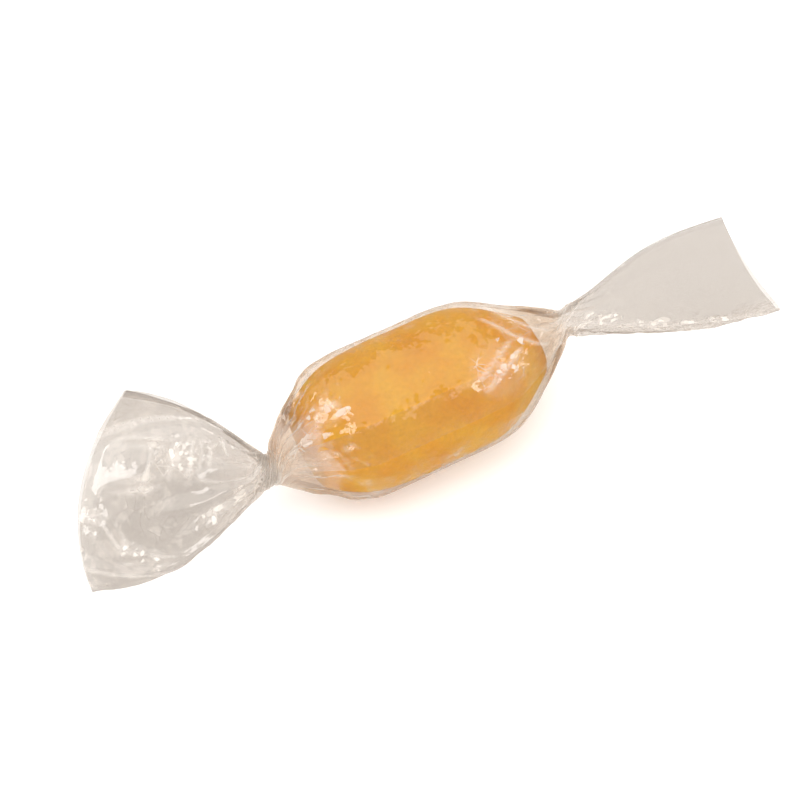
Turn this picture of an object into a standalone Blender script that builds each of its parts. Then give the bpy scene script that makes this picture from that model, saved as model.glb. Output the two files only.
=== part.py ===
# A wrapped caramel: an oblong hard caramel in a tube of clear film, twisted shut at both ends.
# Units are metres. X runs along the sweet, Z is up, and the origin is under the middle of the
# caramel, on the flat spot of film that the sweet rests on.

import math

import bmesh
import bpy
from mathutils import Matrix, Quaternion, Vector

MM = 0.001

# Caramel: an oblong drop with a long straight middle, sloped shoulders and blunt ends.
CARAMEL_HALF_WIDTH = 7.3 * MM
CARAMEL_HALF_HEIGHT = 6.0 * MM
CARAMEL_LEFT = {"tip": -13.3 * MM, "shoulder": -8.4 * MM, "slope": 0.091 / MM, "bluntness": 1.2 * MM}
CARAMEL_RIGHT = {"tip": 13.1 * MM, "shoulder": 6.9 * MM, "slope": 0.100 / MM, "bluntness": 1.6 * MM}
CARAMEL_CORNER = 8.0
CARAMEL_SQUARENESS = 2.5
CARAMEL_SIDES = 32
CARAMEL_RINGS = 24

# Film: far thicker than real film, so that it holds together as a solid.
FILM = 0.30 * MM
CLEARANCE = 0.30 * MM
BELLY_HALF_WIDTH = CARAMEL_HALF_WIDTH + CLEARANCE + FILM
BELLY_HALF_HEIGHT = CARAMEL_HALF_HEIGHT + CLEARANCE + FILM
FLAT_SPOT = 0.30 * MM
BELLY_CORNER = 10.0
BELLY_SQUARENESS = 2.5
MIDDLE_HEIGHT = BELLY_HALF_HEIGHT - FLAT_SPOT

# Each end narrows over a hood to a twisted neck, then opens into a flattened fan with an open mouth. The fan
# hangs between two corners of its rim; its sides and its rim bulge out of the straight by the
# lengths given here. The left fan lies nearly flat, and the right one stands on edge.
LEFT_END = {
    "way": -1,
    "neck": Vector((-17.2, -0.5, 6.2)) * MM,
    "neck_radius": 1.8 * MM,
    "hood_length": 7.4 * MM,
    "hood_power": 0.85,
    "upper_corner": Vector((-26.3, 13.3, 8.0)) * MM,
    "lower_corner": Vector((-37.8, -2.5, 1.7)) * MM,
    "upper_bulge": 1.8 * MM,
    "lower_bulge": 3.0 * MM,
    "rim_bulge": 2.7 * MM,
    "arch": 1.2 * MM,
    "mouth": 1.7 * MM,
    "turns": 0.5,
    "ripple": 0.35 * MM,
}
RIGHT_END = {
    "way": 1,
    "neck": Vector((16.9, 0.9, 6.2)) * MM,
    "neck_radius": 1.6 * MM,
    "hood_length": 9.2 * MM,
    "hood_power": 0.85,
    "upper_corner": Vector((33.1, -1.2, 17.0)) * MM,
    "lower_corner": Vector((39.2, -5.3, 1.1)) * MM,
    "upper_bulge": 2.8 * MM,
    "lower_bulge": 2.5 * MM,
    "rim_bulge": -0.5 * MM,
    "arch": 0.6 * MM,
    "mouth": 0.9 * MM,
    "turns": -0.5,
    "ripple": 0.25 * MM,
}
NECK_HALF_LENGTH = 0.7 * MM
NECK_WAIST = 0.82
BORE = 0.45 * MM
PLEATS = 7
PLEAT_DEPTH = 0.24
RIPPLES = 3.0
EDGE_WALL = 0.95

# Loft
SIDES = 40
BELLY_RINGS = 27
NECK_RINGS = 7
FAN_RINGS = 9


def soft_least(values, corner):
    """The least of some positive values, with its corners rounded; a larger corner is sharper."""
    return sum(v ** -corner for v in values) ** (-1 / corner)


def signed_power(value, power):
    return math.copysign(abs(value) ** power, value)


def oval(angle, half_width, half_height, squareness):
    """A point of a superellipse, as distances along the width and the height."""
    across = half_width * signed_power(math.cos(angle), 2 / squareness)
    up = half_height * signed_power(math.sin(angle), 2 / squareness)
    return across, up


def caramel_fullness(x):
    """The caramel's half width at x, as a share of its greatest half width."""
    values = [1.0]
    for end, way in ((CARAMEL_LEFT, 1), (CARAMEL_RIGHT, -1)):
        values.append(1 + end["slope"] * way * (x - end["shoulder"]))
        values.append(math.sqrt(max(way * (x - end["tip"]), 1e-9) / end["bluntness"]))
    return soft_least(values, CARAMEL_CORNER)


def belly_fullness(x):
    """How far the film has opened at x, from 0 at a neck to nearly 1 at the belly."""
    values = [1.0]
    for end in (LEFT_END, RIGHT_END):
        from_neck = max(end["way"] * (end["neck"].x - x) - NECK_HALF_LENGTH, 1e-8)
        values.append((from_neck / end["hood_length"]) ** end["hood_power"])
    return soft_least(values, BELLY_CORNER)


def pleat(angle):
    """Gathers of the film, standing outwards, from 0 to 1 round the neck."""
    return 0.5 + 0.5 * math.cos(PLEATS * angle)


def belly_point(x, angle, inside):
    end = LEFT_END if x < 0 else RIGHT_END
    fullness = belly_fullness(x)
    gathered = 1 - fullness
    radius = end["neck_radius"]
    half_width = radius + (BELLY_HALF_WIDTH - radius) * fullness
    half_height = radius + (BELLY_HALF_HEIGHT - radius) * fullness
    wall = FILM
    if inside:
        wall += (radius - BORE - FILM) * gathered ** 6
        half_width -= wall
        half_height -= wall
    squareness = 2 + (BELLY_SQUARENESS - 2) * fullness
    across, up = oval(angle, half_width, half_height, squareness)
    swell = 1 + PLEAT_DEPTH * gathered ** 2 * pleat(angle)
    if inside:
        swell = 1 + (swell - 1) * fullness
    drift = gathered ** 2
    y = end["neck"].y * drift + across * swell
    z = MIDDLE_HEIGHT + (end["neck"].z - MIDDLE_HEIGHT) * drift + up * swell
    return Vector((x, y, max(z, FILM if inside else 0.0)))


def rim_middle(end):
    return (end["upper_corner"] + end["lower_corner"]) / 2


def fan_out(end):
    """The direction from the neck to the middle of the rim."""
    return (rim_middle(end) - end["neck"]).normalized()


def fan_turn(end):
    """The rotation from the sweet's own directions to the fan's: along, across and off its face."""
    along = fan_out(end) * end["way"]
    across = end["upper_corner"] - end["lower_corner"]
    across = (across - along * across.dot(along)).normalized()
    return Matrix((along, across, along.cross(across))).transposed().to_quaternion()


def neck_point(end, step, angle, inside):
    """step runs from 0 at the belly to 1 at the fan."""
    turn = Quaternion().slerp(fan_turn(end), step)
    start = end["neck"] - Vector((end["way"] * NECK_HALF_LENGTH, 0, 0))
    finish = end["neck"] + fan_out(end) * NECK_HALF_LENGTH
    centre = start.lerp(end["neck"], step).lerp(end["neck"].lerp(finish, step), step)
    waist = 1 - (1 - NECK_WAIST) * math.sin(math.pi * step)
    radius = BORE * waist
    if not inside:
        radius = end["neck_radius"] * waist * (1 + PLEAT_DEPTH * pleat(angle))
    turned = angle + 2 * math.pi * end["turns"] * step
    return centre + turn @ Vector((0, radius * math.cos(turned), radius * math.sin(turned)))


def fan_point(end, reach, angle, inside):
    """reach runs from 0 at the neck to 1 at the rim of the fan."""
    turned = angle + 2 * math.pi * end["turns"]
    layer = math.sin(turned)
    side = math.cos(turned)
    place = side * EDGE_WALL if inside else side
    out = fan_out(end)
    root = end["neck"] + out * NECK_HALF_LENGTH
    rim = end["lower_corner"].lerp(end["upper_corner"], (1 + place) / 2)
    rim += out * end["rim_bulge"] * (1 - place ** 2)
    spread = end["lower_bulge"] + (end["upper_bulge"] - end["lower_bulge"]) * (1 + place) / 2
    closing = (1 - reach) ** 2
    radius = BORE if inside else end["neck_radius"] * (1 + PLEAT_DEPTH * pleat(angle))
    half_gap = end["mouth"] * reach * math.sin(math.pi / 2 * reach)
    if not inside:
        half_gap += FILM
    ripple = end["ripple"] * math.sin(RIPPLES * math.pi * place + end["way"])
    across = radius * side * closing + spread * place * math.sin(math.pi * reach)
    off = layer * (radius * closing + half_gap * (1 - closing))
    off += end["arch"] * (1 - place ** 2) * reach + ripple * math.sin(math.pi * reach ** 0.7)
    placed = root.lerp(rim, reach) + fan_turn(end) @ Vector((0, across, off))
    placed.z = max(placed.z, FILM if inside else 0.0)
    return placed


def film_rings(inside):
    """The rings of points of one face of the film, from the left rim to the right rim."""
    angles = [2 * math.pi * i / SIDES for i in range(SIDES)]
    rings = []
    for number in range(FAN_RINGS, 0, -1):
        rings.append([fan_point(LEFT_END, number / FAN_RINGS, a, inside) for a in angles])
    for number in range(NECK_RINGS, -1, -1):
        rings.append([neck_point(LEFT_END, number / NECK_RINGS, a, inside) for a in angles])
    first = LEFT_END["neck"].x + NECK_HALF_LENGTH
    last = RIGHT_END["neck"].x - NECK_HALF_LENGTH
    for number in range(1, BELLY_RINGS):
        x = first + (last - first) * (1 - math.cos(math.pi * number / BELLY_RINGS)) / 2
        rings.append([belly_point(x, a, inside) for a in angles])
    for number in range(NECK_RINGS + 1):
        rings.append([neck_point(RIGHT_END, number / NECK_RINGS, a, inside) for a in angles])
    for number in range(1, FAN_RINGS + 1):
        rings.append([fan_point(RIGHT_END, number / FAN_RINGS, a, inside) for a in angles])
    return rings


def principled(name, colour, roughness, transmission=0.0):
    material = bpy.data.materials.new(name)
    material.use_nodes = True
    shader = material.node_tree.nodes["Principled BSDF"]
    shader.inputs["Base Color"].default_value = (*colour, 1.0)
    shader.inputs["Roughness"].default_value = roughness
    shader.inputs["Metallic"].default_value = 0.0
    shader.inputs["Transmission Weight"].default_value = transmission
    material.diffuse_color = (*colour, 1.0)
    return material


def add_object(name, mesh, material, collection):
    made = bpy.data.objects.new(name, mesh)
    mesh.materials.append(material)
    mesh.shade_smooth()
    mesh.set_sharp_from_angle(angle=math.radians(45))
    collection.objects.link(made)
    return made


def build_caramel(collection):
    """A ball drawn out along X and pressed to the caramel's outline."""
    shape = bmesh.new()
    bmesh.ops.create_uvsphere(shape, u_segments=CARAMEL_SIDES, v_segments=CARAMEL_RINGS, radius=1.0)
    bmesh.ops.rotate(shape, verts=shape.verts, matrix=Matrix.Rotation(math.radians(90), 3, "Y"))
    middle = (CARAMEL_LEFT["tip"] + CARAMEL_RIGHT["tip"]) / 2
    half_length = (CARAMEL_RIGHT["tip"] - CARAMEL_LEFT["tip"]) / 2
    lowest = FILM + CLEARANCE
    for vert in shape.verts:
        x = middle + half_length * vert.co.x
        angle = math.atan2(vert.co.z, vert.co.y)
        full = caramel_fullness(x) if abs(vert.co.x) < 0.9999 else 0.0
        across, up = oval(angle, CARAMEL_HALF_WIDTH * full, CARAMEL_HALF_HEIGHT * full, CARAMEL_SQUARENESS)
        vert.co = (x, across, max(MIDDLE_HEIGHT + up, lowest))
    bmesh.ops.recalc_face_normals(shape, faces=shape.faces)
    mesh = bpy.data.meshes.new("caramel")
    shape.to_mesh(mesh)
    shape.free()
    add_object("caramel", mesh, principled("boiled caramel", (0.78, 0.36, 0.06), 0.35), collection)


def build_film(collection):
    """A tube lofted from rim to rim, with an outer and an inner face joined at both rims."""
    shape = bmesh.new()
    outer = [[shape.verts.new(p) for p in ring] for ring in film_rings(inside=False)]
    inner = [[shape.verts.new(p) for p in ring] for ring in film_rings(inside=True)]
    loops = outer + inner[::-1]
    for first, second in zip(loops, loops[1:] + loops[:1]):
        for i in range(SIDES):
            j = (i + 1) % SIDES
            shape.faces.new((first[i], first[j], second[j], second[i]))
    bmesh.ops.triangulate(shape, faces=shape.faces)
    bmesh.ops.recalc_face_normals(shape, faces=shape.faces)
    mesh = bpy.data.meshes.new("film_wrapper")
    shape.to_mesh(mesh)
    shape.free()
    clear = principled("clear film", (0.86, 0.82, 0.77), 0.08, transmission=0.9)
    add_object("film_wrapper", mesh, clear, collection)


def main():
    for old in list(bpy.data.objects):
        bpy.data.objects.remove(old)
    collection = bpy.data.collections.new("wrapped caramel")
    bpy.context.scene.collection.children.link(collection)
    build_caramel(collection)
    build_film(collection)


main()
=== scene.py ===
import math

import bpy
import numpy as np
from mathutils import Matrix, Quaternion, Vector


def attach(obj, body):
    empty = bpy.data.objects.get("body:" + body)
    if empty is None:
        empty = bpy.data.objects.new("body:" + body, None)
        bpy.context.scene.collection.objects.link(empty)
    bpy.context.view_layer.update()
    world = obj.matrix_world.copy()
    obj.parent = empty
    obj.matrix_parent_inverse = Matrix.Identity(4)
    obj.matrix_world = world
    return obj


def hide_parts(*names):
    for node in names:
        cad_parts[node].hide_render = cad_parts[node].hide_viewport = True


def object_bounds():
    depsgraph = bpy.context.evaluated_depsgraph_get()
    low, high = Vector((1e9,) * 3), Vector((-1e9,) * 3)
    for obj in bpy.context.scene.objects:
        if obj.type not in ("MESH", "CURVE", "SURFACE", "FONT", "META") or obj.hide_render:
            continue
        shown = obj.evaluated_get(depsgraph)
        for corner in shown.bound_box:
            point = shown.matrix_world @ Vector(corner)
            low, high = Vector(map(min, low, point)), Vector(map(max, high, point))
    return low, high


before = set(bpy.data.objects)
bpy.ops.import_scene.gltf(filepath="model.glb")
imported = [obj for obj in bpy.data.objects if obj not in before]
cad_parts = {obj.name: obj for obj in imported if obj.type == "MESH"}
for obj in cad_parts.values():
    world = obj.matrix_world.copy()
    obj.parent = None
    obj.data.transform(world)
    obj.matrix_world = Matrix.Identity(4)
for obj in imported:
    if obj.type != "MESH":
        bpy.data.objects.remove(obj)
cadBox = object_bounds()
mm = 0.001
fullTurn = 2 * math.pi


def fromHex(code):
    # sRGB hex to the linear colour that a shader wants
    parts = [int(code[i:i + 2], 16) / 255 for i in (1, 3, 5)]
    return [p / 12.92 if p <= 0.04045 else ((p + 0.055) / 1.055) ** 2.4 for p in parts] + [1.0]


def addNode(tree, kind, settings=(), links=()):
    # settings are the node's own options or its inputs' values, and links are (input, source socket)
    node = tree.nodes.new(kind)
    for name, value in dict(settings).items():
        if isinstance(name, str) and hasattr(node, name):
            setattr(node, name, value)
        else:
            node.inputs[name].default_value = value
    for name, source in links:
        tree.links.new(source, node.inputs[name])
    return node


def startMaterial(name):
    material = bpy.data.materials.new(name)
    material.use_nodes = True
    material.node_tree.nodes.clear()
    return material, material.node_tree


def smoothStep(value):
    value = np.clip(value, 0, 1)
    return value * value * (3 - 2 * value)


def softLeast(values, corner):
    # the least of some positive arrays, with its corners rounded; a larger corner is sharper
    return sum(v ** -corner for v in values) ** (-1 / corner)


def signedPower(value, power):
    return np.sign(value) * np.abs(value) ** power


def oval(angle, halfWidth, halfHeight, squareness):
    across = halfWidth * signedPower(np.cos(angle), 2 / squareness)
    up = halfHeight * signedPower(np.sin(angle), 2 / squareness)
    return across, up


def creased(along, around, size, seed):
    # heights from -1 to 1 that run flat between straight creases, on triangles about size apart
    columns, rows = 97, 89
    table = np.random.default_rng(seed).uniform(-1, 1, (columns, rows))
    lean = 0.366 * (along + around) / size      # this makes the triangles even-sided
    x, y = along / size + lean, around / size + lean
    i, j = np.floor(x).astype(int), np.floor(y).astype(int)
    fx, fy = x - i, y - j
    near = table[i % columns, j % rows]
    far = table[(i + 1) % columns, (j + 1) % rows]
    beside = np.where(fx > fy, table[(i + 1) % columns, j % rows], table[i % columns, (j + 1) % rows])
    return near + (beside - near) * np.maximum(fx, fy) + (far - beside) * np.minimum(fx, fy)


def crumple(along, around, size, seed):
    # the same with the creases put out of line, so that no two facets are alike
    shift, firstSize, secondSize = 0.55 * size, 1.9 * size, 1.7 * size
    alongMoved = along + shift * creased(along, around, firstSize, seed + 1)
    aroundMoved = around + shift * creased(along, around, secondSize, seed + 2)
    return creased(alongMoved, aroundMoved, size, seed)


def setVertices(piece, points):
    piece.data.vertices.foreach_set("co", np.ascontiguousarray(points, dtype=np.float32).ravel())
    piece.data.update()


def getVertices(piece):
    points = np.zeros(len(piece.data.vertices) * 3, np.float32)
    piece.data.vertices.foreach_get("co", points)
    return points.reshape(-1, 3).astype(float)


# Camera: a long lens, looking down on the sweet
shot = {"azimuth": -27.6, "elevation": 60.0, "lens": 150.0, "sensor": 36.0, "fieldWidth": 80.0,
        "right": 2.13, "up": 0.525, "height": 6.55, "nearest": 10.0}


def addCamera():
    a, e = math.radians(shot["azimuth"]), math.radians(shot["elevation"])
    back = Vector((math.sin(a) * math.cos(e), -math.cos(a) * math.cos(e), math.sin(e)))
    right = Vector((math.cos(a), math.sin(a), 0))
    aim = Vector((0, 0, shot["height"])) - right * shot["right"] - back.cross(right) * shot["up"]
    distance = shot["fieldWidth"] / shot["sensor"] * shot["lens"]
    bpy.ops.object.camera_add(location=(aim + back * distance) * mm)
    camera = bpy.context.object
    camera.name = "camera"
    camera.rotation_mode = "QUATERNION"
    camera.rotation_quaternion = (-back).to_track_quat("-Z", "Y")
    camera.data.lens = shot["lens"]
    camera.data.sensor_width = shot["sensor"]
    camera.data.clip_start = shot["nearest"] * mm
    bpy.context.scene.camera = camera


# Studio: a white table, a pale room that is dimmer near the horizon, and softboxes above and beside
studio = {
    "table": "#F7F6F5", "tableReflected": "#98938D", "tableGlow": 0.25, "tableSize": 3000, "tableDrop": 0.02,
    "room": "#DCDAD8", "horizon": 0.68, "zenith": 0.48, "horizonEnds": 0.5,
    "lights": {      # radiance is the brightness of the box itself, where the white table is about 1
        "ceilingPanel": {"azimuth": 165, "elevation": 64, "distance": 450, "size": (620, 530),
                         "radiance": 0.74},
        "leftSoftbox": {"azimuth": -103, "elevation": 64, "distance": 500, "size": (230, 200),
                        "radiance": 3.2},
        "rightSoftbox": {"azimuth": 80, "elevation": 35, "distance": 500, "size": (150, 250),
                         "radiance": 2.6},
        # the matte ones light the table and the sweet, and leave no reflection in the film
        "fill": {"azimuth": 0, "elevation": 90, "distance": 1500, "size": (1500, 1500),
                 "radiance": 1.4, "matte": True},
        "frontFill": {"azimuth": -20, "elevation": 22, "distance": 700, "size": (700, 400),
                      "radiance": 2.5, "matte": True},
        "backFill": {"azimuth": 155, "elevation": 18, "distance": 700, "size": (700, 400),
                     "radiance": 0.9, "matte": True},
    },
}


def addStudio():
    bpy.ops.mesh.primitive_plane_add(size=studio["tableSize"] * mm,
                                     location=(0, 0, -studio["tableDrop"] * mm))
    table = bpy.context.object
    table.name = "table"
    material, tree = startMaterial("opal acrylic light table")      # an even white, lit a little from below
    path = addNode(tree, "ShaderNodeLightPath")      # seen in the film's gloss, it looks less bright
    colour = addNode(tree, "ShaderNodeMix", {"data_type": "RGBA", 6: fromHex(studio["table"]),
                                             7: fromHex(studio["tableReflected"])},
                     [(0, path.outputs["Is Glossy Ray"])])
    shader = addNode(tree, "ShaderNodeBsdfPrincipled", {"Roughness": 0.8, "Specular IOR Level": 0.1,
                                                        "Emission Strength": studio["tableGlow"]},
                     [("Base Color", colour.outputs[2]), ("Emission Color", colour.outputs[2])])
    addNode(tree, "ShaderNodeOutputMaterial", {}, [("Surface", shader.outputs[0])])
    table.data.materials.append(material)
    world = bpy.data.worlds.new("pale room")
    world.use_nodes = True
    sky = world.node_tree
    direction = addNode(sky, "ShaderNodeTexCoord").outputs["Generated"]
    height = addNode(sky, "ShaderNodeSeparateXYZ", {}, [(0, direction)])
    strength = addNode(sky, "ShaderNodeMapRange", {"From Max": studio["horizonEnds"],
                                                   "To Min": studio["horizon"], "To Max": studio["zenith"]},
                       [("Value", height.outputs["Z"])])
    background = sky.nodes["Background"]
    background.inputs["Color"].default_value = fromHex(studio["room"])
    sky.links.new(strength.outputs[0], background.inputs["Strength"])
    bpy.context.scene.world = world
    for name, box in studio["lights"].items():
        a, e = math.radians(box["azimuth"]), math.radians(box["elevation"])
        away = Vector((math.sin(a) * math.cos(e), -math.cos(a) * math.cos(e), math.sin(e)))
        bpy.ops.object.light_add(type="AREA", location=away * box["distance"] * mm)
        light = bpy.context.object
        light.name = name
        light.rotation_mode = "QUATERNION"
        light.rotation_quaternion = (-away).to_track_quat("-Z", "Y")
        light.data.shape = "RECTANGLE"
        light.data.size = box["size"][0] * mm
        light.data.size_y = box["size"][1] * mm
        light.data.energy = box["radiance"] * math.pi * box["size"][0] * box["size"][1] * mm * mm
        light.visible_glossy = not box.get("matte", False)


# Caramel: the same outline as its solid, with finer faces and a hand-poured unevenness
caramel = {
    "halfWidth": 7.3, "halfHeight": 6.0, "middleHeight": 6.3, "lowest": 0.6,
    "squareness": 2.5, "corner": 8.0,
    "left": {"tip": -13.3, "shoulder": -8.4, "slope": 0.091, "bluntness": 1.2},
    "right": {"tip": 13.1, "shoulder": 6.9, "slope": 0.100, "bluntness": 1.6},
    "segments": 128, "rings": 96, "unevenness": 0.05, "waves": (0.55, 0.31),      # radians to the millimetre
    "light": "#E5B028", "deep": "#DF9B0D", "clouds": 6.0, "cloudEdges": (0.35, 0.65),
    "grain": 0.3, "grainShade": 0.22, "grainDepth": 0.012,
}


def caramelFullness(x):
    values = [np.ones_like(x)]
    for end, way in ((caramel["left"], 1), (caramel["right"], -1)):
        values.append(1 + end["slope"] * way * (x - end["shoulder"]))
        values.append(np.sqrt(np.maximum(way * (x - end["tip"]), 1e-9) / end["bluntness"]))
    return softLeast(values, caramel["corner"])


def makeCaramel():
    bpy.ops.object.select_all(action="DESELECT")
    bpy.ops.mesh.primitive_uv_sphere_add(segments=caramel["segments"], ring_count=caramel["rings"],
                                         radius=1, rotation=(0, math.radians(90), 0))
    piece = bpy.context.object
    piece.name = "caramelSweet"
    bpy.ops.object.transform_apply(location=True, rotation=True, scale=True)
    ball = getVertices(piece)
    left, right = caramel["left"]["tip"], caramel["right"]["tip"]
    x = (left + right) / 2 + (right - left) / 2 * ball[:, 0]
    angle = np.arctan2(ball[:, 2], ball[:, 1])
    full = np.where(np.abs(ball[:, 0]) < 0.9999, caramelFullness(x), 0)      # shut at its poles
    across, up = oval(angle, caramel["halfWidth"] * full, caramel["halfHeight"] * full,
                      caramel["squareness"])
    turning, straight = caramel["waves"]
    wave = np.sin(turning * x + 2 * angle) * np.cos(straight * x)
    swell = 1 - caramel["unevenness"] / caramel["halfWidth"] * (1 + wave)
    z = np.maximum(caramel["middleHeight"] + up * swell, caramel["lowest"])
    setVertices(piece, np.stack((x, across * swell, z), 1) * mm)
    bpy.ops.object.shade_smooth()
    piece.data.materials.append(caramelMaterial())
    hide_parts("caramel")
    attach(piece, "root")


def caramelMaterial():
    # Hard caramel, boiled sugar and cream, cast: dense, a little translucent, satin where the film has
    # rubbed it, with a fine sugar grain.
    material, tree = startMaterial("cast boiled caramel")
    place = addNode(tree, "ShaderNodeTexCoord").outputs["Object"]
    clouds = addNode(tree, "ShaderNodeTexNoise", {"Scale": 1 / (caramel["clouds"] * mm), "Detail": 3.0,
                                                   "Roughness": 0.55},
                     [("Vector", place)])
    cloudStart, cloudEnd = caramel["cloudEdges"]
    blend = addNode(tree, "ShaderNodeMapRange", {"From Min": cloudStart, "From Max": cloudEnd},
                    [("Value", clouds.outputs[0])])
    grain = addNode(tree, "ShaderNodeTexNoise", {"Scale": 1 / (caramel["grain"] * mm), "Detail": 2.0},
                    [("Vector", place)])
    colour = addNode(tree, "ShaderNodeMix", {"data_type": "RGBA", 6: fromHex(caramel["deep"]),
                                             7: fromHex(caramel["light"])}, [(0, blend.outputs[0])])
    shade = addNode(tree, "ShaderNodeMapRange", {"To Min": 1 - caramel["grainShade"],
                                                 "To Max": 1 + caramel["grainShade"]},
                    [("Value", grain.outputs[0])])
    speckle = addNode(tree, "ShaderNodeHueSaturation", {},
                      [("Color", colour.outputs[2]), ("Value", shade.outputs[0])])
    bump = addNode(tree, "ShaderNodeBump", {"Strength": 0.6, "Distance": caramel["grainDepth"] * mm},
                   [("Height", grain.outputs[0])])
    shader = addNode(tree, "ShaderNodeBsdfPrincipled", {
        "Roughness": 0.45, "IOR": 1.5, "Specular IOR Level": 0.25, "Subsurface Weight": 0.35,
        "Subsurface Radius": (1.0, 0.45, 0.12), "Subsurface Scale": 2.0 * mm,
    }, [("Base Color", speckle.outputs[0]), ("Normal", bump.outputs[0])])
    addNode(tree, "ShaderNodeOutputMaterial", {}, [("Surface", shader.outputs[0])])
    return material


# Film: one sheet, lapped round the caramel, gathered into two twisted necks and opening beyond them
# into two fans. Its form is that of its solid, a little inside that one's outer face. The sheet is
# measured flat: length from the left rim to the right one, width from its inner edge to its outer.
film = {
    "halfWidth": 7.9, "halfHeight": 6.6, "middleHeight": 6.3, "corner": 10.0, "squareness": 2.5,
    "cling": 0.38, "neckHalfLength": 0.7, "neckWaist": 0.82,
    "flatWidth": 53.0, "flatLength": 83.0, "lap": 5.0, "lapEdge": 151.0, "lapLift": 0.08,
    "fanFlat": 20.5, "neckFlat": 4.0, "columns": 160, "rows": 290, "thickness": 0.03,
    "smoothUpTo": 40,      # edges that turn by more degrees than this stay sharp
    # place along the sheet and distance between rows there: closer where it is more crumpled
    "rowSpacing": ((0, 0.24), (19, 0.24), (21, 0.16), (25, 0.16), (27, 0.25), (33, 0.3), (36, 0.55),
                   (48, 0.55), (51, 0.35), (57, 0.3), (59, 0.16), (62, 0.16), (64, 0.34), (83, 0.34)),
    # the gathers round a neck: how unevenly they are spaced, and where their valleys and their crests
    # lie, as shares of the plain radius
    "gatherUnevenness": 0.17, "bellyValley": 0.45, "neckValley": 0.6, "gatherCrest": 1.15,
    "leastGap": 0.15,      # from the middle of a fan to either of its two layers
    "pleatStart": 0.15, "pleatFade": 2.5,      # where a fan's pleats are full, and how fast they fade
    "blend": 3.0,      # over how many millimetres one stretch of the sheet goes over into the next
    # the second colour is painted light: the caramel's warm glow, painted into the film's cast between the
    # necks
    "clear": "#F0EEEC", "paintedCaramelGlow": "#F0EAE3", "gloss": 0.05,
    "reflected": (0.045, 0.3), "reflectedPower": 5.0,      # straight on, and how much more at a glance
    # the haze colour is the film's own milkiness, and the lines, the glance and the glints are painted
    # highlights in the same white
    "hazeAndPaintedHighlightColour": "#F3ECE4", "haze": 0.004, "creasedHaze": 0.05, "linePaintedHighlight": 0.4,
    "glancePaintedSheen": 0.4, "glancePaintedSheenPower": 4.0,
    # how strong the film's cast is, where a plain layer has 1; the lap's is for its left and its right
    "bellyTone": 0.5, "bellyStart": 5.0, "neckTone": 0.75, "neckReach": 2.3, "foldTone": 0.5,
    "lapTone": (0.7, 0.5), "lapTonePlaces": (30.0, 50.0),
    # the double fold's edge: its width at the rim, its fall to the millimetre, and the length it ends at
    "foldEdge": (10.2, 0.36), "foldBlend": 0.4, "foldEnd": 14.0, "foldEndBlend": 2.0,
    # the sizes of its facets, how far they lean, and how bright the painted glints on them are, white
    # painted as if they faced a lamp
    "facets": ((3.4, 0.2, 0), (1.3, 0.3, 0.4), (0.5, 0.3, 1.0)), "paintedGlintShare": 0.4,
    "paintedGlintOverCaramel": 0.5,      # how bright the same painted glints are where the film lies on the caramel
    "lineWidth": 0.13, "smallestLined": 1.0,      # the lines between facets, painted white as highlights, and the smallest that have them
    "bendLength": 4.0, "bendWidth": 1.6,      # how far apart the lines bend, and how far
    "linedPart": (0.45, 0.6), "thickCreasing": (0.35, 0.8),      # none below the first, all above the second
}
leftEnd = {
    "way": -1, "neck": (-17.2, -0.5, 6.2), "neckRadius": 1.8, "hoodLength": 7.4, "hoodPower": 0.85,
    "upperCorner": (-26.3, 13.3, 8.0), "lowerCorner": (-37.8, -2.5, 1.7),
    "upperBulge": 1.8, "lowerBulge": 3.0, "rimBulge": 2.7, "arch": 0.8, "mouth": 0.8,
    "turns": 0.633, "twistLength": 7.0, "folds": 14, "foldFade": 1.7, "fanPleat": 0.8,
    "gatherFade": 1.5, "seed": 21,
}
rightEnd = {
    "way": 1, "neck": (16.9, 0.9, 6.2), "neckRadius": 1.6, "hoodLength": 9.2, "hoodPower": 0.85,
    "upperCorner": (33.1, -1.2, 17.0), "lowerCorner": (39.2, -5.3, 1.1),
    "upperBulge": 2.8, "lowerBulge": 2.5, "rimBulge": -0.5, "arch": 0.6, "mouth": 0.9,
    "turns": -0.367, "twistLength": 6.0, "folds": 11, "foldFade": 3.6, "fanPleat": 0.2,
    "gatherFade": 5.0, "seed": 47,
}


def bellyFullness(x):
    # how far the film has opened at x, from 0 at a neck to nearly 1 over the caramel
    values = [1.0]
    for end in (leftEnd, rightEnd):
        fromNeck = max(end["way"] * (end["neck"][0] - x) - film["neckHalfLength"], 1e-5)
        values.append((fromNeck / end["hoodLength"]) ** end["hoodPower"])
    return softLeast(values, film["corner"])


def foldCrest(angle, end):
    # the gathers round a neck: 0 in a valley and 1 on a crest, unevenly spaced
    phase = np.random.default_rng(end["seed"]).uniform(0, fullTurn, 3)
    uneven = angle + sum(film["gatherUnevenness"] / k * np.sin(k * angle + phase[k - 1]) for k in (1, 2, 3))
    share = (end["folds"] * uneven / fullTurn) % 1
    return 1 - np.abs(2 * share - 1)


def bellyRow(end, x, angle, turned):
    full = bellyFullness(x)
    gathered = 1 - full
    halfWidth = end["neckRadius"] + (film["halfWidth"] - end["neckRadius"]) * full - film["cling"] * full
    halfHeight = end["neckRadius"] + (film["halfHeight"] - end["neckRadius"]) * full - film["cling"] * full
    across, up = oval(turned, halfWidth, halfHeight, 2 + (film["squareness"] - 2) * full)
    valley, crest = film["bellyValley"], film["gatherCrest"]
    swell = 1 + gathered ** end["foldFade"] * (valley - 1 + (crest - valley) * foldCrest(angle, end))
    drift = gathered ** 2
    y = end["neck"][1] * drift + across * swell
    z = film["middleHeight"] + (end["neck"][2] - film["middleHeight"]) * drift + up * swell
    return np.stack((np.full_like(y, x), y, z), 1)


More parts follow.
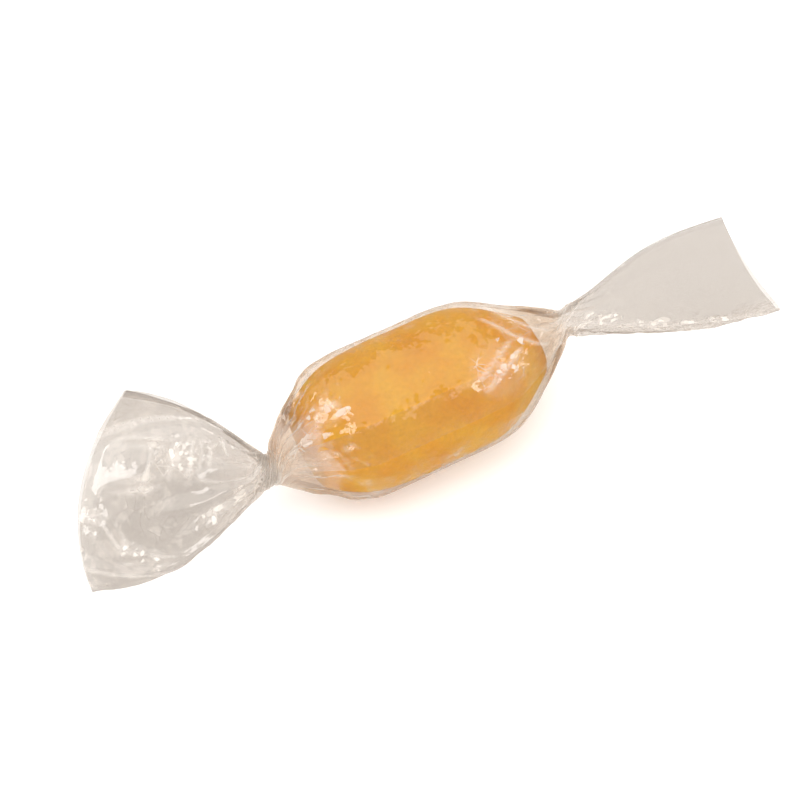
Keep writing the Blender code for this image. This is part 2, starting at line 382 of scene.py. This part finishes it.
def fanDirections(end):
    # along the fan, across it and off its face, as columns
    upper, lower, neck = (Vector(end[k]) for k in ("upperCorner", "lowerCorner", "neck"))
    along = ((upper + lower) / 2 - neck).normalized() * end["way"]
    across = upper - lower
    across = (across - along * across.dot(along)).normalized()
    return Matrix((along, across, along.cross(across))).transposed()


def neckRow(end, step, angle, turned):
    # step runs from 0 at the belly to 1 at the fan
    directions = fanDirections(end)
    neck, half = Vector(end["neck"]), film["neckHalfLength"] * end["way"]
    start, finish = neck - Vector((half, 0, 0)), neck + directions.col[0] * half
    centre = start.lerp(neck, step).lerp(neck.lerp(finish, step), step)
    turn = Quaternion().slerp(directions.to_quaternion(), step).to_matrix()
    radius = end["neckRadius"] * (1 - (1 - film["neckWaist"]) * math.sin(math.pi * step))
    valley, crest = film["neckValley"], film["gatherCrest"]
    radius = radius * (valley + (crest - valley) * foldCrest(angle, end))
    local = np.stack((np.zeros_like(radius), radius * np.cos(turned), radius * np.sin(turned)), 1)
    return np.array(centre) + local @ np.array(turn).T


def fanRow(end, reach, angle, turned):
    # reach runs from 0 at the neck to 1 at the rim
    directions = np.array(fanDirections(end))
    out = directions[:, 0] * end["way"]
    upper, lower, neck = (np.array(end[k]) for k in ("upperCorner", "lowerCorner", "neck"))
    place, layer = np.cos(turned), np.sin(turned)
    root = neck + out * film["neckHalfLength"]
    rim = lower + (upper - lower) * ((1 + place) / 2)[:, None]
    rim = rim + out * (end["rimBulge"] * (1 - place ** 2))[:, None]
    spread = end["lowerBulge"] + (end["upperBulge"] - end["lowerBulge"]) * (1 + place) / 2
    closing = (1 - reach) ** 2
    fold = foldCrest(angle, end) - 0.5
    valley, crest = film["neckValley"], film["gatherCrest"]
    gathered = (crest - valley) * fold * (1 - reach) ** end["gatherFade"]
    radius = end["neckRadius"] * ((valley + crest) / 2 + gathered)
    gap = end["mouth"] * reach * math.sin(math.pi / 2 * reach) + film["leastGap"]
    across = radius * place * closing + spread * place * math.sin(math.pi * reach)
    off = layer * (radius * closing + gap * (1 - closing)) + end["arch"] * (1 - place ** 2) * reach
    pleated = min(reach / film["pleatStart"], 1) * (1 - reach) ** film["pleatFade"]
    off = off + end["fanPleat"] * fold * pleated
    local = np.stack((np.zeros_like(off), across, off), 1)
    return root + (rim - root) * reach + local @ directions.T


def stretchOf(at):
    # what shapes a row of the sheet: the function, the end it belongs to, and how far along it is
    for end, fromRim in ((leftEnd, at), (rightEnd, film["flatLength"] - at)):
        if fromRim <= film["fanFlat"]:
            return fanRow, end, 1 - fromRim / film["fanFlat"]
        if fromRim <= film["fanFlat"] + film["neckFlat"]:
            return neckRow, end, 1 - (fromRim - film["fanFlat"]) / film["neckFlat"]
    first = leftEnd["neck"][0] + film["neckHalfLength"]
    last = rightEnd["neck"][0] - film["neckHalfLength"]
    before = film["fanFlat"] + film["neckFlat"]
    x = first + (last - first) * (at - before) / (film["flatLength"] - 2 * before)
    return bellyRow, leftEnd if x < 0 else rightEnd, x


def twisted(at, angle):
    # the turn of each neck, taken up over some millimetres on both sides of it
    for end, fromRim in ((leftEnd, at), (rightEnd, film["flatLength"] - at)):
        fromNeck = film["fanFlat"] + film["neckFlat"] / 2 - fromRim
        angle = angle + fullTurn * end["turns"] * smoothStep(0.5 + fromNeck / end["twistLength"])
    return angle


def rowPlaces():
    knots, spacing = zip(*film["rowSpacing"])
    steps = 2000      # many more than there are rows
    fine = np.linspace(0, film["flatLength"], steps)
    count = np.concatenate(([0], np.cumsum(np.diff(fine) / np.interp(fine[1:], knots, spacing))))
    return np.interp(np.linspace(0, count[-1], film["rows"] + 1), count, fine)


def wrapSheet():
    # where each point of the sheet lies before it is crumpled, with its length, its width, its angle
    # and how near it is to a gather's crest
    around = np.arange(film["columns"] + 1) / film["columns"]
    lapAngle = fullTurn * film["lap"] / (film["flatWidth"] - film["lap"])
    angle = math.radians(film["lapEdge"]) - (1 - around) * (fullTurn + lapAngle)
    points, length, turned, crest = [], [], [], []
    for at in rowPlaces():
        shape, end, value = stretchOf(at)
        turned.append(twisted(at, angle))
        points.append(shape(end, value, angle, turned[-1]))
        length.append(np.full_like(angle, at))
        crest.append(foldCrest(angle, end))
    width = np.broadcast_to(around * film["flatWidth"], (len(length), len(around)))
    return np.array(points), np.array(length), width, np.array(turned), np.array(crest)


def outwards(points):
    # the film's outward direction at each point
    normals = np.cross(np.gradient(points, axis=0), np.gradient(points, axis=1))
    normals = normals / np.maximum(np.linalg.norm(normals, axis=2, keepdims=True), 1e-9)
    fromMiddle = points - points.mean(axis=1, keepdims=True)
    return normals * np.sign((fromMiddle * normals).sum(axis=(1, 2)))[:, None, None]


def within(value, start, end, blend):
    # 1 between start and end and 0 beyond them, blended over some millimetres
    return smoothStep((value - start) / blend) * smoothStep((end - value) / blend)


# Creases on the flat sheet: from (length, width) to (length, width), height of the ridge, and how far
# the film slopes down from it on its right hand and on its left, with length to the right and width up
creases = {
    "upper fold": ((-1.0, 10.8), (12.0, 6.2), 0.40, 3.0, 0.9),
    "upper fold again": ((-1.0, 10.2), (9.0, 6.8), 0.12, 0.4, 0.4),
    "bright facet": ((7.6, 14.8), (7.6, 10.4), 1.4, 6.0, 2.4),
    "streak": ((6.4, 15.6), (9.2, 11.0), 0.22, 0.8, 0.6),
    "long patch": ((12.4, 14.8), (12.2, 9.4), 0.50, 2.3, 1.1),
    "patch beside it": ((14.6, 13.6), (14.4, 9.8), 0.20, 1.0, 0.8),
    "patch by the upper edge": ((16.8, 11.4), (15.0, 7.2), 0.26, 1.4, 1.2),
    "fold to the neck": ((12.8, 14.5), (21.0, 17.5), 0.30, 1.3, 1.6),
    "chain, first": ((0.3, 16.4), (2.8, 17.3), 0.22, 0.9, 0.9),
    "chain, second": ((2.6, 17.0), (4.6, 20.3), 0.34, 1.0, 1.2),
    "chain, third": ((4.4, 20.0), (7.2, 21.0), 0.32, 0.8, 1.0),
    "chain, fourth": ((6.9, 20.8), (10.2, 23.0), 0.22, 0.7, 1.0),
    "lower fold": ((-1.0, 20.6), (12.0, 26.6), 0.34, 1.6, 2.4),
    "arc, first": ((28.5, 46.2), (30.1, 44.4), 0.16, 0.5, 0.4),
    "arc, second": ((30.0, 44.5), (32.3, 44.9), 0.16, 0.5, 0.4),
    "line to the right neck": ((50.6, 40.2), (56.2, 47.6), 0.14, 0.5, 0.4),
    "line beside it": ((49.6, 42.6), (55.6, 49.8), 0.12, 0.4, 0.4),
    "pocket, first": ((52.4, 47.2), (46.2, 50.2), 0.14, 0.7, 0.4),
    "pocket, second": ((51.6, 45.8), (46.0, 48.6), 0.12, 0.5, 0.4),
    "right fold, first": ((64.2, 14.2), (70.4, 19.3), 0.24, 0.8, 1.6),
    "right fold, second": ((69.8, 19.2), (84.0, 22.0), 0.20, 0.7, 1.8),
    "triangle": ((14.6, 22.0), (15.4, 18.6), 0.44, 1.9, 1.0),
}


# Where the film is thickly creased: middle (length, width), radius and how much of the most
creasedAreas = (
    ((11.0, 11.8), 4.2, 0.9), ((15.8, 10.5), 3.6, 0.8), ((1.5, 17.0), 2.4, 0.5),
    ((5.0, 20.3), 2.4, 0.5), ((9.5, 23.0), 2.6, 0.4), ((13.5, 20.0), 2.4, 0.5), ((18.0, 22.0), 4.5, 1.5),
    ((27.0, 45.5), 3.6, 1.0), ((30.6, 45.0), 2.4, 0.7), ((48.8, 48.5), 5.0, 0.7), ((53.5, 43.8), 4.5, 0.6),
)
# Where it is drawn smooth, so that a facet shines whole or a plain stretch stays plain
calmAreas = (((4.2, 12.6), 4.4), ((8.8, 17.6), 4.4))
# Where painted glints go, white painted on small facets as if they faced a lamp: how sharply each place
# ends, and its middle (length, width), radius and how much of the most
paintedGlintSharpness = 1.6
paintedGlintAreas = (
    ((8.4, 13.4), 1.4, 0.8), ((11.2, 12.0), 2.6, 1.0), ((16.5, 10.5), 2.2, 0.5), ((0.7, 16.6), 0.9, 0.8),
    ((2.2, 16.6), 0.8, 0.8), ((3.4, 18.3), 1.0, 1.0), ((4.5, 19.8), 1.1, 1.0), ((6.2, 20.8), 1.0, 0.8),
    ((8.0, 21.6), 0.7, 0.6), ((15.0, 20.0), 1.6, 0.8), ((18.5, 20.5), 3.0, 0.8), ((28.6, 45.5), 2.6, 0.6),
    ((31.6, 44.8), 1.6, 0.6), ((50.5, 47.5), 2.6, 0.6), ((64.0, 12.5), 2.4, 0.7), ((66.2, 15.2), 1.8, 0.8),
    ((68.6, 18.0), 1.8, 0.9), ((71.2, 19.4), 1.8, 0.9), ((74.0, 20.1), 1.5, 0.7), ((77.0, 20.4), 1.2, 0.7),
    ((80.0, 21.0), 0.9, 0.6), ((65.5, 5.0), 0.9, 0.5), ((70.0, 51.6), 0.9, 0.5), ((76.1, 3.2), 0.8, 0.5),
)


def ridge(length, width, crease):
    (startLength, startWidth), (endLength, endWidth), height, oneSide, otherSide = crease
    runLength, runWidth = endLength - startLength, endWidth - startWidth
    size = math.hypot(runLength, runWidth)
    along = ((length - startLength) * runLength + (width - startWidth) * runWidth) / size
    off = ((length - startLength) * runWidth - (width - startWidth) * runLength) / size
    slope = np.maximum(1 - np.abs(off) / np.where(off > 0, oneSide, otherSide), 0)
    return height * slope * smoothStep(np.minimum(along, size - along) + 0.2)      # it tapers at its ends


def spotted(length, width, areas, sharpness):
    # the most of some round areas, each from 0 at its radius to its own amount near its middle
    most = np.zeros_like(length)
    for (middleLength, middleWidth), radius, amount in areas:
        away = np.hypot(length - middleLength, width - middleWidth)
        most = np.maximum(most, amount * smoothStep(sharpness * (1 - away / radius)))
    return most


# The film's crumpling, stretch by stretch: height, size of the facets, how close they are along the
# sheet against how close they are across it, and seed
crumpling = {
    "left fan": ((0.2, 5.2, 1, 5),),
    "patches on the left fan": ((0.09, 2.1, 1, 8), (0.03, 0.9, 1, 9)),
    "right fan": ((0.10, 8.0, 1, 11),),
    "lower edge of the right fan": ((0.2, 1.3, 1, 14),),
    "belly": ((0.1, 6.5, 1, 17), (0.03, 2.3, 1, 19)),
    "left hood": ((0.22, 1.9, 1, 23), (0.07, 0.9, 1, 27)),
    "right hood": ((0.2, 3.2, 0.6, 31),),
}
# how long the hoods are and how large the patches, how much crumple is left in a calm area, and how
# near the right fan's lower edge its own crumple starts, where the edge itself is at -1
stretches = {"hood": 11.0, "hoodBlend": 6.0, "patches": 7.0, "patchContrast": 1.2, "patchSeed": 3,
             "calmest": 0.2, "calmCore": 0.4, "lowerEdge": -0.6, "lowerEdgeBlend": 0.2}


def relief(length, width, turned):
    # how far the crumpled film stands off its plain form
    fan, belly, total = film["fanFlat"], film["fanFlat"] + film["neckFlat"], film["flatLength"]
    fromRight = total - length
    leftFan = smoothStep((fan - length) / film["blend"])
    rightFan = smoothStep((fan - fromRight) / film["blend"])
    overBelly = within(length, belly, total - belly, film["blend"])
    hoodEnd = belly + stretches["hood"]
    patches = creased(length, width, stretches["patches"], stretches["patchSeed"])
    patchy = smoothStep(0.5 + stretches["patchContrast"] * patches)
    calm = np.ones_like(length)
    for (middleLength, middleWidth), radius in calmAreas:
        away = np.hypot(length - middleLength, width - middleWidth)
        calm = np.minimum(calm, stretches["calmest"] + smoothStep(away / radius - stretches["calmCore"]))
    shares = {
        "left fan": leftFan * calm,
        "patches on the left fan": leftFan * calm * patchy,
        "right fan": rightFan,
        "lower edge of the right fan": rightFan * smoothStep((stretches["lowerEdge"] - np.cos(turned))
                                                             / stretches["lowerEdgeBlend"]),
        "belly": overBelly,
        "left hood": overBelly * smoothStep((hoodEnd - length) / stretches["hoodBlend"]),
        "right hood": overBelly * smoothStep((hoodEnd - fromRight) / stretches["hoodBlend"]),
    }
    lift = np.zeros_like(length)
    for stretch, layers in crumpling.items():
        for height, size, closeness, seed in layers:
            lift = lift + shares[stretch] * height * crumple(length * closeness, width, size, seed)
    for crease in creases.values():
        lift = lift + ridge(length, width, crease)
    return lift


def necksAt():
    # the middles of the two necks along the sheet
    neck = film["fanFlat"] + film["neckFlat"] / 2
    return neck, film["flatLength"] - neck


def toneOf(length, width):
    # how much cast the film shows: less where it lies on the caramel, is gathered tight or is lapped
    left, right = necksAt()
    fromNeck = np.minimum(np.abs(length - left), np.abs(right - length))
    tone = 1 + (film["neckTone"] - 1) * np.exp(-(fromNeck / film["neckReach"]) ** 2)
    overBelly = within(length, left + film["bellyStart"], right - film["bellyStart"], film["blend"])
    tone = tone + (film["bellyTone"] - tone) * overBelly
    lapped = np.maximum(film["lap"] - width, width - (film["flatWidth"] - film["lap"])) > 0
    tone = np.where(lapped, tone * np.interp(length, film["lapTonePlaces"], film["lapTone"]), tone)
    # the left fan's upper fold lies double
    atRim, fall = film["foldEdge"]
    folded = smoothStep((atRim - fall * length - width) / film["foldBlend"])
    folded = folded * smoothStep((film["foldEnd"] - length) / film["foldEndBlend"])
    return tone + film["foldTone"] * folded


def paintedCaramelGlowOf(length):
    # painted warm light: how far the caramel's glow is painted into the film's cast, between the necks; the
    # painted glints are dimmer there too
    left, right = necksAt()
    return within(length, left, right, film["blend"])


# How thickly the film is covered in fine creases, where 1 is thick. The reaches are for the left neck
# and the right one.
fineCreases = {
    "anywhere": 0.05, "belly": 0.25, "farLayer": 0.45, "lowerEdge": 0.9, "necks": 0.85, "most": 1.5,
    "neckCore": 1.3, "neckReaches": (6.5, 5.0), "farLayerWidths": (27, 50), "farLayerBlends": (2.0, 4.0),
    "patches": 5.0, "patchShare": 0.3, "patchContrast": 1.5, "patchSeed": 41,
    "lowerEdgePlace": -0.75, "lowerEdgeBlend": 0.15, "areaSharpness": 2.0,
}


def creasingOf(length, width, turned):
    left, right = necksAt()
    blend = film["blend"]
    leftReach, rightReach = fineCreases["neckReaches"]
    fromNeck = np.minimum(np.abs(length - left) / leftReach, np.abs(right - length) / rightReach)
    nearNecks = smoothStep(fineCreases["neckCore"] - fromNeck)
    first, last = fineCreases["farLayerWidths"]
    acrossBlend, alongBlend = fineCreases["farLayerBlends"]
    farLayer = within(width, first, last, acrossBlend) * smoothStep((left - length) / alongBlend)
    patches = creased(length, width, fineCreases["patches"], fineCreases["patchSeed"])
    patchy = smoothStep(fineCreases["patchShare"] + fineCreases["patchContrast"] * patches)
    overBelly = within(length, left + blend, right - blend, blend)
    lowerEdge = smoothStep((fineCreases["lowerEdgePlace"] - np.cos(turned)) / fineCreases["lowerEdgeBlend"])
    lowerEdge = lowerEdge * smoothStep((length - right) / blend)
    creasing = fineCreases["anywhere"] + fineCreases["belly"] * overBelly
    creasing = creasing + fineCreases["farLayer"] * patchy * farLayer + fineCreases["lowerEdge"] * lowerEdge
    areas = spotted(length, width, creasedAreas, fineCreases["areaSharpness"])
    creasing = np.maximum.reduce((creasing, fineCreases["necks"] * nearNecks, areas))
    return np.clip(creasing, 0, fineCreases["most"])


# How white the film is, where 1 is white: white painted as highlights along its creases and on its gathers,
# partly its own whitening and partly painted highlight where it is bent most sharply, and paler where it
# stands off the caramel's left end, up to a wavering edge
whiteningAndPaintedHighlights = {
    "creases": 0.7, "creaseWidth": 0.35, "gathers": 0.65, "gatherPower": 5, "gatherCore": 1.25,
    "gatherReach": 5.5, "bendsPerWhite": 2.5, "leastBend": 0.15, "most": 1.5,
    "lifted": 0.3, "liftedFrom": 1.0, "liftedBlend": 0.5, "liftedWidth": 37.0, "pastLap": 4.0,
    "edge": 27.3, "edgeStep": 2.4, "stepWidth": 43.0, "stepBlend": 4.0,
    "edgeWaver": 0.8, "waverSize": 2.6, "waverSeed": 67,
}


def whiteAndPaintedHighlightOf(length, width, lift, crest):
    rows, columns = length[:, 0], width[0]
    bend = np.abs(np.gradient(np.gradient(lift, rows, axis=0), rows, axis=0))
    bend = bend + np.abs(np.gradient(np.gradient(lift, columns, axis=1), columns, axis=1))
    left, right = necksAt()
    fromNeck = np.minimum(np.abs(length - left), np.abs(right - length))
    nearNecks = smoothStep(whiteningAndPaintedHighlights["gatherCore"] - fromNeck / whiteningAndPaintedHighlights["gatherReach"])
    # the sheet's first millimetres lie under its last ones and go on from them
    goesOn = width < film["lap"] + whiteningAndPaintedHighlights["pastLap"]
    outerWidth = np.where(goesOn, width + film["flatWidth"] - film["lap"], width)
    step = smoothStep((outerWidth - whiteningAndPaintedHighlights["stepWidth"]) / whiteningAndPaintedHighlights["stepBlend"])
    waver = crumple(length, width, whiteningAndPaintedHighlights["waverSize"], whiteningAndPaintedHighlights["waverSeed"])
    edge = whiteningAndPaintedHighlights["edge"] + whiteningAndPaintedHighlights["edgeStep"] * step + whiteningAndPaintedHighlights["edgeWaver"] * waver
    lifted = within(length, left + whiteningAndPaintedHighlights["liftedFrom"], edge, whiteningAndPaintedHighlights["liftedBlend"])
    lifted = lifted * (outerWidth > whiteningAndPaintedHighlights["liftedWidth"])
    # white painted along the creases and on the gathers' crests as highlights; the sharpest bends are partly
    # whitened film, partly painted highlight
    profile = (whiteningAndPaintedHighlights["creases"], whiteningAndPaintedHighlights["creaseWidth"], whiteningAndPaintedHighlights["creaseWidth"])
    lines = [ridge(length, width, crease[:2] + profile) for crease in creases.values()]
    gathered = whiteningAndPaintedHighlights["gathers"] * crest ** whiteningAndPaintedHighlights["gatherPower"] * nearNecks
    sharp = bend / whiteningAndPaintedHighlights["bendsPerWhite"] - whiteningAndPaintedHighlights["leastBend"]
    whiteAndPaintedHighlight = np.maximum.reduce(lines + [sharp, gathered, whiteningAndPaintedHighlights["lifted"] * lifted])
    return np.clip(whiteAndPaintedHighlight, 0, whiteningAndPaintedHighlights["most"])


def paintedGlintsOf(length, width):
    # how many of the film's facets get a painted glint, as if they faced a lamp
    return spotted(length, width, paintedGlintAreas, paintedGlintSharpness)


def makeFilm():
    bpy.ops.object.select_all(action="DESELECT")
    bpy.ops.mesh.primitive_grid_add(x_subdivisions=film["columns"], y_subdivisions=film["rows"], size=1)
    piece = bpy.context.object
    piece.name = "filmWrapper"
    flat = getVertices(piece)
    column = np.rint((flat[:, 0] + 0.5) * film["columns"]).astype(int)
    row = np.rint((flat[:, 1] + 0.5) * film["rows"]).astype(int)
    points, length, width, turned, crest = wrapSheet()
    lift = relief(length, width, turned) + film["lapLift"] * (width / film["flatWidth"] - 0.5)
    points = points + outwards(points) * lift[:, :, None]
    low, high = (np.array(corner) / mm for corner in cadBox)
    points = np.clip(points, low + film["thickness"], high - film["thickness"])
    setVertices(piece, points[row, column] * mm)
    corners = np.zeros(len(piece.data.loops), np.int32)
    piece.data.loops.foreach_get("vertex_index", corners)
    onSheet = np.stack((width[row, column], length[row, column]), 1)[corners] / film["flatLength"]
    piece.data.uv_layers[0].data.foreach_set("uv", onSheet.astype(np.float32).ravel())
    surface = {"tone": toneOf(length, width), "creasing": creasingOf(length, width, turned),
               "whiteAndPaintedHighlight": whiteAndPaintedHighlightOf(length, width, lift, crest), "paintedGlints": paintedGlintsOf(length, width),
               "paintedCaramelGlowShare": paintedCaramelGlowOf(length)}
    for name, values in surface.items():
        layer = piece.data.attributes.new(name, "FLOAT", "POINT")
        layer.data.foreach_set("value", values[row, column].astype(np.float32))
    solidify = piece.modifiers.new("wall", "SOLIDIFY")
    solidify.thickness = film["thickness"] * mm
    solidify.offset = 0
    bpy.ops.object.modifier_apply(modifier="wall")
    bpy.ops.object.shade_smooth_by_angle(angle=math.radians(film["smoothUpTo"]))
    piece.data.materials.append(filmMaterial())
    piece.visible_shadow = False      # clear film casts next to no shadow
    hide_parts("film_wrapper")
    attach(piece, "root")


def addFacets(tree, stored):
    # the creased surface: its normal, the painted glints on its facets, and the lines between facets that
    # are painted white as highlights
    sheet = addNode(tree, "ShaderNodeUVMap", {"uv_map": "UVMap"})
    sized = addNode(tree, "ShaderNodeVectorMath", {"operation": "SCALE", "Scale": film["flatLength"]},
                    [(0, sheet.outputs[0])])
    bend = addNode(tree, "ShaderNodeTexNoise", {"Scale": 1 / film["bendLength"], "Detail": 1.0},
                   [("Vector", sized.outputs[0])])
    bent = addNode(tree, "ShaderNodeVectorMath", {"operation": "MULTIPLY_ADD",
                                                  1: (film["bendWidth"], film["bendWidth"], 0)},
                   [(0, bend.outputs["Color"]), (2, sized.outputs[0])]).outputs[0]
    # how few facets get a painted glint
    fewest = addNode(tree, "ShaderNodeMath", {"operation": "MULTIPLY_ADD", 1: -film["paintedGlintShare"], 2: 1.0},
                     [(0, stored["paintedGlints"])]).outputs[0]
    normal = addNode(tree, "ShaderNodeNewGeometry").outputs["Normal"]
    paintedGlint = line = None
    for size, lean, brightness in film["facets"]:
        # every cell of the pattern is a flat facet with a lean of its own
        cells = addNode(tree, "ShaderNodeTexVoronoi", {"voronoi_dimensions": "2D", "Scale": 1 / size},
                        [("Vector", bent)]).outputs["Color"]
        leaning = addNode(tree, "ShaderNodeVectorMath", {"operation": "MULTIPLY_ADD", 1: (2 * lean,) * 3,
                                                         2: (-lean,) * 3}, [(0, cells)]).outputs[0]
        leaning = addNode(tree, "ShaderNodeVectorMath", {"operation": "SCALE"},
                          [(0, leaning), ("Scale", stored["creasing"])]).outputs[0]
        normal = addNode(tree, "ShaderNodeVectorMath", {"operation": "ADD"},
                         [(0, normal), (1, leaning)]).outputs[0]
        if brightness:
            # some of them get a painted glint, more or less bright, as if they faced a lamp
            pick = addNode(tree, "ShaderNodeSeparateColor", {}, [(0, cells)]).outputs["Blue"]
            lit = addNode(tree, "ShaderNodeMapRange", {"From Max": 1.0, "To Max": brightness},
                          [("Value", pick), ("From Min", fewest)]).outputs[0]
            if paintedGlint is not None:
                lit = addNode(tree, "ShaderNodeMath", {"operation": "MAXIMUM"},
                              [(0, paintedGlint), (1, lit)]).outputs[0]
            paintedGlint = lit
        # lines along the larger facets' edges, painted white as highlights
        if size >= film["smallestLined"]:
            edges = addNode(tree, "ShaderNodeTexVoronoi", {"voronoi_dimensions": "2D", "Scale": 1 / size,
                                                           "feature": "DISTANCE_TO_EDGE"},
                            [("Vector", bent)]).outputs["Distance"]
            edge = addNode(tree, "ShaderNodeMapRange", {"From Max": film["lineWidth"] / 2 / size,
                                                        "To Min": 1.0, "To Max": 0.0},
                           [("Value", edges)]).outputs[0]
            if line is not None:
                edge = addNode(tree, "ShaderNodeMath", {"operation": "MAXIMUM"},
                               [(0, line), (1, edge)]).outputs[0]
            line = edge
    normal = addNode(tree, "ShaderNodeVectorMath", {"operation": "NORMALIZE"}, [(0, normal)]).outputs[0]
    # the painted highlight lines show in some places only
    lineStart, lineEnd = film["linedPart"]
    some = addNode(tree, "ShaderNodeMapRange", {"From Min": lineStart, "From Max": lineEnd},
                   [("Value", bend.outputs["Fac"])]).outputs[0]
    line = addNode(tree, "ShaderNodeMath", {"operation": "MULTIPLY"}, [(0, line), (1, some)]).outputs[0]
    return normal, paintedGlint, line


def addClearFilm(tree, stored, normal, facing):
    # what the film lets through, and what its two faces send back
    steep = addNode(tree, "ShaderNodeMath", {"operation": "POWER", 1: film["reflectedPower"]}, [(0, facing)])
    least, more = film["reflected"]
    share = addNode(tree, "ShaderNodeMath", {"operation": "MULTIPLY_ADD", 1: more, 2: least},
                    [(0, steep.outputs[0])])
    # the cast takes painted warm light from the caramel between the necks
    tint = addNode(tree, "ShaderNodeMix", {"data_type": "RGBA", 6: fromHex(film["clear"]),
                                           7: fromHex(film["paintedCaramelGlow"])}, [(0, stored["paintedCaramelGlowShare"])])
    cast = addNode(tree, "ShaderNodeMix", {"data_type": "RGBA", "clamp_factor": False, 6: (1, 1, 1, 1)},
                   [(0, stored["tone"]), (7, tint.outputs[2])])
    clear = addNode(tree, "ShaderNodeBsdfTransparent", {}, [("Color", cast.outputs[2])])
    gloss = addNode(tree, "ShaderNodeBsdfPrincipled", {"Base Color": (1, 1, 1, 1), "Metallic": 1.0,
                                                       "Roughness": film["gloss"]}, [("Normal", normal)])
    return addNode(tree, "ShaderNodeMixShader", {}, [(0, share.outputs[0]), (1, clear.outputs[0]),
                                                     (2, gloss.outputs[0])]).outputs[0]


def addMilkinessAndPaintedHighlights(tree, stored, facing, paintedGlint, line):
    # how milky the film is, a little all over and more where it is thickly creased, with painted highlights
    # in
    # the same milky white: on its lines and white creases, a painted sheen at a glance, and painted glints
    thickStart, thickEnd = film["thickCreasing"]
    thick = addNode(tree, "ShaderNodeMapRange", {"From Min": thickStart, "From Max": thickEnd},
                    [("Value", stored["creasing"])]).outputs[0]
    line = addNode(tree, "ShaderNodeMath", {"operation": "MULTIPLY"}, [(0, line), (1, thick)]).outputs[0]
    line = addNode(tree, "ShaderNodeMath", {"operation": "MAXIMUM"}, [(0, line), (1, stored["whiteAndPaintedHighlight"])])
    # a painted sheen: white painted where the film is seen at a glancing angle
    glance = addNode(tree, "ShaderNodeMath", {"operation": "POWER", 1: film["glancePaintedSheenPower"]}, [(0, facing)])
    milkyAndPaintedHighlights = addNode(tree, "ShaderNodeMath", {"operation": "MULTIPLY_ADD", 1: film["creasedHaze"],
                                             2: film["haze"]}, [(0, thick)]).outputs[0]
    for amount, source in ((film["linePaintedHighlight"], line), (film["glancePaintedSheen"], glance)):
        milkyAndPaintedHighlights = addNode(tree, "ShaderNodeMath", {"operation": "MULTIPLY_ADD", 1: amount},
                        [(0, source.outputs[0]), (2, milkyAndPaintedHighlights)]).outputs[0]
    # the painted glints are dimmer over the caramel
    dimmer = addNode(tree, "ShaderNodeMapRange", {"To Min": 1.0, "To Max": film["paintedGlintOverCaramel"]},
                     [("Value", stored["paintedCaramelGlowShare"])]).outputs[0]
    paintedGlint = addNode(tree, "ShaderNodeMath", {"operation": "MULTIPLY"}, [(0, paintedGlint), (1, dimmer)]).outputs[0]
    return addNode(tree, "ShaderNodeMath", {"operation": "MAXIMUM"}, [(0, milkyAndPaintedHighlights), (1, paintedGlint)]).outputs[0]


def filmMaterial():
    # Oriented polypropylene film, cast, stretched and cut: clear and very glossy, with a faint warm
    # cast where it lies over itself, and painted warm light from the caramel round it. Each of its two faces
    # sends back a little light, and more of it at a glancing angle. Fine creases break up what it reflects.
    # Painted highlights are mixed into its milkiness: white painted glints, lines, gathers and a glancing
    # sheen.
    material, tree = startMaterial("stretched polypropylene film")
    stored = {name: addNode(tree, "ShaderNodeAttribute", {"attribute_name": name}).outputs["Fac"]
              for name in ("tone", "creasing", "whiteAndPaintedHighlight", "paintedGlints", "paintedCaramelGlowShare")}
    normal, paintedGlint, line = addFacets(tree, stored)
    facing = addNode(tree, "ShaderNodeLayerWeight", {"Blend": 0.5}, [("Normal", normal)]).outputs["Facing"]
    clearFilm = addClearFilm(tree, stored, normal, facing)
    milkyAndPaintedHighlights = addMilkinessAndPaintedHighlights(tree, stored, facing, paintedGlint, line)
    # a milky white face, which also shows the painted glints, highlight lines and glancing sheen
    haze = addNode(tree, "ShaderNodeBsdfPrincipled", {"Base Color": fromHex(film["hazeAndPaintedHighlightColour"]),
                                                      "Roughness": 0.5})
    whole = addNode(tree, "ShaderNodeMixShader", {}, [(0, milkyAndPaintedHighlights), (1, clearFilm), (2, haze.outputs[0])])
    addNode(tree, "ShaderNodeOutputMaterial", {}, [("Surface", whole.outputs[0])])
    return material


scene = bpy.context.scene
scene.view_settings.view_transform = "Standard"
scene.cycles.transparent_max_bounces = 64
addCamera()
print("camera placed")
addStudio()
print("studio lit")
makeCaramel()
print("caramel cast")
makeFilm()
print("film wrapped and twisted")
